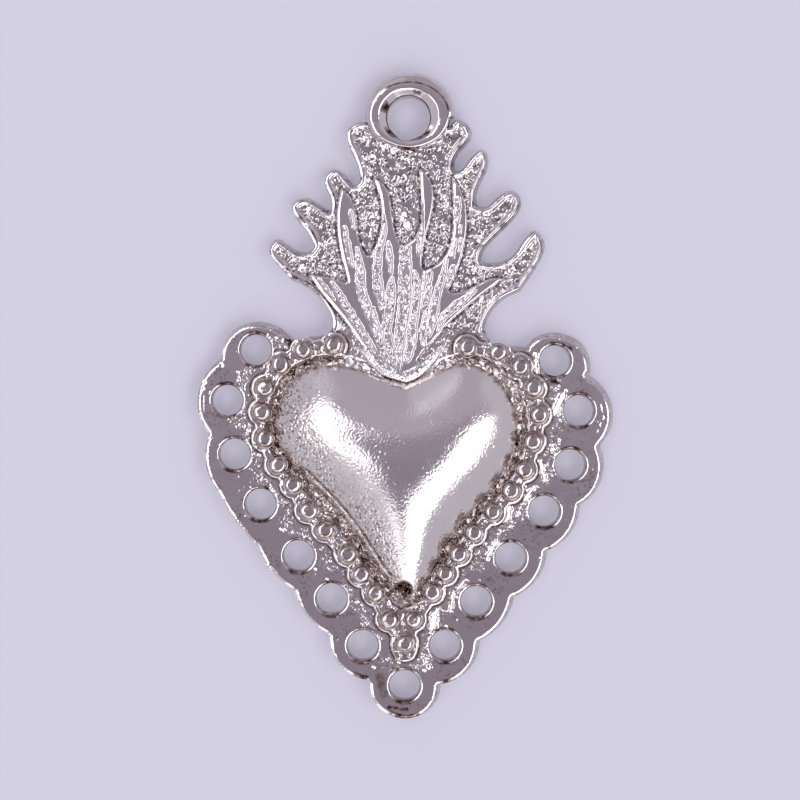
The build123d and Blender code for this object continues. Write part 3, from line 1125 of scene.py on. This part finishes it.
# Where the outer slope starts and ends being narrow, in degrees from the right
narrow_start = (-150, -120)
narrow_end = (-6, -2)
narrow_least = 0.35
# Brown marks on the ring, and a painted shadow in the gap under it at -92 degrees: the middle and half width
# in degrees, the first and last row, and how dark
ring_marks_and_shadow = [
    (0, 360, 0, 1, 0.5), (0, 360, 2, 3, 0.9), (60, 70, 10, 10, 1.0), (0, 360, 11, 14, 0.2),
    (0, 360, 15, 16, 0.4), (157, 14, 2, 5, 1.0), (71, 9, 5, 6, 1.0), (-92, 16, 11, 16, 1.0),
    (-95, 50, 4, 4, 0.8),
]
# The notch in the bore: its turn and half width in degrees, its reach, and its share in each row
notch_turn = -105
notch_width = 24
notch_reach = 0.22
notch_rows = (1, 1, 1, 1, 0.9, 0.15)
# Dents as cast
dent_pitch = 0.8
dent_height = 0.04
dent_push = 0.012
small_dent_pitch = 2.4
small_dent_height = 0.01


def build_ring():
    """A flat oval band between a sloped lip and a round outside, dented as cast and notched in its bore."""
    points, faces = lathe([(1, level) for *_, level in ring_rows], ring_sides)
    row = np.repeat(np.arange(len(ring_rows)), ring_sides)
    sizes = np.array(ring_rows)
    way = points[:, :2]
    turn = np.degrees(np.arctan2(way[:, 1], way[:, 0]))
    level = way * sizes[row, :2] + sizes[row, 2:4]
    edge = way * sizes[ring_edge_row, :2] + sizes[ring_edge_row, 2:4]
    narrow = grow(turn, *narrow_start) * fade(turn, *narrow_end)
    slope = 1 - (1 - narrow_least) * narrow
    level = np.where((row > ring_edge_row)[:, None], edge + (level - edge) * slope[:, None], level)
    notch = np.clip(1 - np.abs(turn - notch_turn) / notch_width, 0, 1)
    notch *= np.append(notch_rows, np.zeros(len(ring_rows)))[row]
    level += way * (notch_reach * notch)[:, None]
    places = np.column_stack([level, points[:, 2]])
    last = len(points) - ring_sides
    faces += [(last + i, last + (i + 1) % ring_sides, (i + 1) % ring_sides, i) for i in range(ring_sides)]
    faces = [tuple(reversed(face)) for face in faces]
    bumps = np.array([noise.noise(Vector(p) * dent_pitch) for p in places])
    small = np.array([noise.noise(Vector(p) * small_dent_pitch) for p in places])
    share = np.clip(points[:, 2] / points[:, 2].max(), 0, 1)
    places[:, 2] += share * (dent_height * bumps + small_dent_height * small)
    places[:, :2] *= 1 + dent_push * (bumps * share)[:, None]
    stain_and_shade = np.zeros(len(points))
    # Brown marks, and the painted shadow in the gap under the ring
    for middle, half, first, final, darkness in ring_marks_and_shadow:
        off = np.abs((turn - middle + 180) % 360 - 180)
        stain_and_shade[(off < half) & (row >= first) & (row <= final)] = darkness
    made = piece("hanging_ring_cast", places, faces, stain_and_shade, np.zeros(len(points)))
    dress(made, "hanging_ring", ring_metal)


build_border()
build_flame()
for number in range(len(tongue_names)):
    build_tongue(number)
build_collar()
build_dome()
build_ledge()
bead_names = sorted(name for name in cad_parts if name.startswith("bead_") and name != "bead_ledge")
for number, node in enumerate(bead_names):
    build_bead(node, number)
build_ring()


# Floor, light and camera

floor_colour = (0.46, 0.465, 0.54)
floor_glow = (0.188, 0.178, 0.218)
floor_roughness = 0.85
# Half the floor's width, in metres, and how far it lies under the charm
floor_half = 3.0
floor_drop = 0.02


def build_floor():
    mesh = bpy.data.meshes.new("floor")
    sides = [(-1, -1), (1, -1), (1, 1), (-1, 1)]
    corners = [(x * floor_half, y * floor_half, -floor_drop * MM) for x, y in sides]
    mesh.from_pydata(corners, [], [(0, 1, 2, 3)])
    floor = add_object("floor", mesh)
    material = bpy.data.materials.new("floor")
    material.use_nodes = True
    shader = material.node_tree.nodes["Principled BSDF"]
    set_inputs(shader, {"Base Color": (*floor_colour, 1), "Roughness": floor_roughness})
    set_inputs(shader, {"Emission Color": (*floor_glow, 1), "Emission Strength": 1})
    mesh.materials.append(material)


# The sky over the charm, and soft panels of light in it: the middle's azimuth and the half width, the angles
# from straight up where it starts and ends, the softness of its edges, all in degrees, and the colour
sky_colour = (0.33, 0.28, 0.34)
panels = [
    (0, 200, 33, 180, 10, (0.48, 0.42, 0.48)),
    (-90, 75, 4, 26, 5, (0.29, 0.245, 0.295)),
    (90, 45, 17, 60, 10, (0.48, 0.42, 0.48)),
    (-20, 75, 52, 180, 6, (0.56, 0.52, 0.57)),
    (165, 70, 44, 180, 6, (0.56, 0.52, 0.57)),
    (107, 10, 48, 66, 5, (0.72, 0.66, 0.72)),
    (-140, 24, 32, 58, 6, (0.66, 0.61, 0.65)),
    (-90, 34, 31, 70, 4, (1.5, 1.45, 1.5)),
    (-33, 48, 26, 51, 3, (2.8, 2.75, 2.8)),
    (165, 52, 18, 37, 3, (2.6, 2.55, 2.6)),
]


def build_light():
    world = bpy.data.worlds.new("studio")
    scene.world = world
    world.use_nodes = True
    nodes, links = world.node_tree.nodes, world.node_tree.links
    way = nodes.new("ShaderNodeTexCoord").outputs["Generated"]

    def vector_math(operation, source, value):
        node = nodes.new("ShaderNodeVectorMath")
        node.operation = operation
        set_inputs(node, {1: value})
        links.new(source, node.inputs[0])
        return node.outputs

    level = vector_math("NORMALIZE", vector_math("MULTIPLY", way, (1, 1, 0))["Vector"], (0, 0, 0))["Vector"]
    rise = vector_math("DOT_PRODUCT", way, (0, 0, 1))["Value"]

    def ramp(value, low, high, scale=None):
        """From 0 at low to 1 at high, times a scale."""
        node = map_range(nodes, low, high)
        node.interpolation_type = "SMOOTHSTEP"
        links.new(value, node.inputs["Value"])
        if scale is not None:
            links.new(scale, node.inputs["To Max"])
        return node.outputs["Result"]

    def cosine(angle):
        """The cosine of an angle in degrees, going on falling past a half turn."""
        if angle > 180:
            return -1 - (angle - 180) / 90
        if angle < 0:
            return 1 - angle / 90
        return math.cos(math.radians(angle))

    light = None
    for azimuth, half_width, start, end, softness, colour in panels:
        aim = vector_math("DOT_PRODUCT", level, (*toward(azimuth), 0))["Value"]
        share = ramp(aim, cosine(half_width + softness), cosine(half_width - softness))
        share = ramp(rise, cosine(start - softness), cosine(start + softness), share)
        share = ramp(rise, cosine(end + softness), cosine(end - softness), share)
        mix = nodes.new("ShaderNodeMix")
        mix.data_type = "RGBA"
        links.new(share, mix.inputs["Factor"])
        mix.inputs["B"].default_value = (*colour, 1)
        if light is None:
            mix.inputs["A"].default_value = (*sky_colour, 1)
        else:
            links.new(light, mix.inputs["A"])
        light = mix.outputs["Result"]
    links.new(light, nodes["Background"].inputs["Color"])


# The nearest that the camera sees, in metres
near_clip = 0.01


def build_camera():
    data = bpy.data.cameras.new("camera")
    span = photo_pixels * pixel
    data.angle = 2 * math.atan(span / 2 / (camera_at[2] - pixel_height))
    data.clip_start = near_clip
    camera = add_object("camera", data)
    camera.location = Vector(camera_at) * MM
    scene.camera = camera


build_floor()
build_light()
build_camera()
scene.view_settings.view_transform = "Standard"
